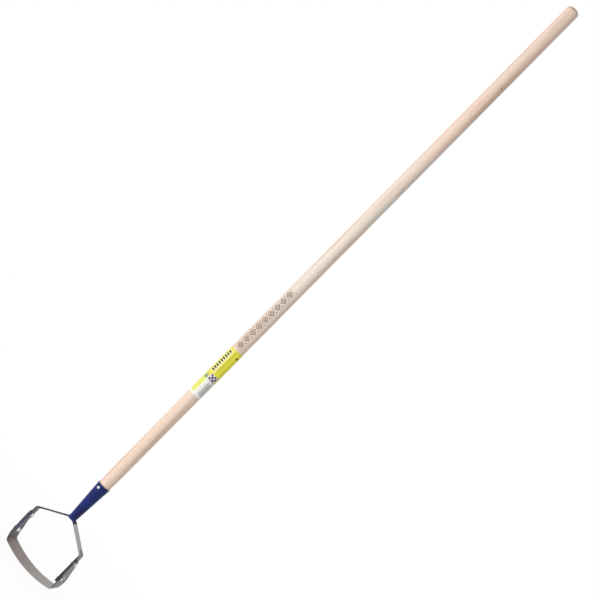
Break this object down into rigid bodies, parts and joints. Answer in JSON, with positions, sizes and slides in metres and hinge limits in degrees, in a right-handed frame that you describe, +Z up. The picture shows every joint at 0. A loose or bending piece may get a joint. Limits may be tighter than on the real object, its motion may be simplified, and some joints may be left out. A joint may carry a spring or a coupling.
{
  "type": "garden scraper",
  "caption": "Long-handled garden scraper: a round wooden handle, a conical steel socket and a bent strap yoke in which a U-shaped blade rocks to cut weeds on the push and on the pull.",
  "frame": {"origin": "on the handle's axis where a rail's clip or the upper hand holds it, 306 mm below the handle's top and 1100 mm above the yoke's seat", "axes": "+Z up along the handle to its top end, +X across the blade to the tool's right, +Y away from the user, to the side the blade is swung to at rest"},
  "size_m": [0.15, 0.0533, 1.5437],
  "materials": {
    "wood": "sanded and lightly waxed",
    "paper": "printed paper, slight sheen",
    "blue_enamel": "glossy dark blue enamel",
    "strap_steel": "bare rolled strap",
    "blade_steel": "tempered, with a thin brown scale",
    "washer_steel": "blackened",
    "zinc": "bright zinc plate"
  },
  "bodies": {
    "tool": {"handle": "wood", "label": "paper", "socket": "blue_enamel", "socket_nail": "zinc", "yoke": "strap_steel", "yoke_rivet": "blue_enamel", "pivot_bolt_left": "zinc", "pivot_bolt_right": "zinc", "pivot_washer_left": "zinc", "pivot_washer_right": "zinc", "pivot_nut_left": "zinc", "pivot_nut_right": "zinc", "stop_bolt_left": "zinc", "stop_bolt_right": "zinc", "stop_washer_left": "zinc", "stop_washer_right": "zinc", "stop_nut_left": "zinc", "stop_nut_right": "zinc", "slot_washer_left": "washer_steel", "slot_washer_right": "washer_steel"},
    "blade": {"blade": "blade_steel"}
  },
  "joints": [
    {"name": "blade_swing", "type": "hinge", "parent": "tool", "child": "blade", "pos_m": [0, 0, -1.157], "axis": [1, 0, 0], "range_deg": [-30, 0]}
  ]
}
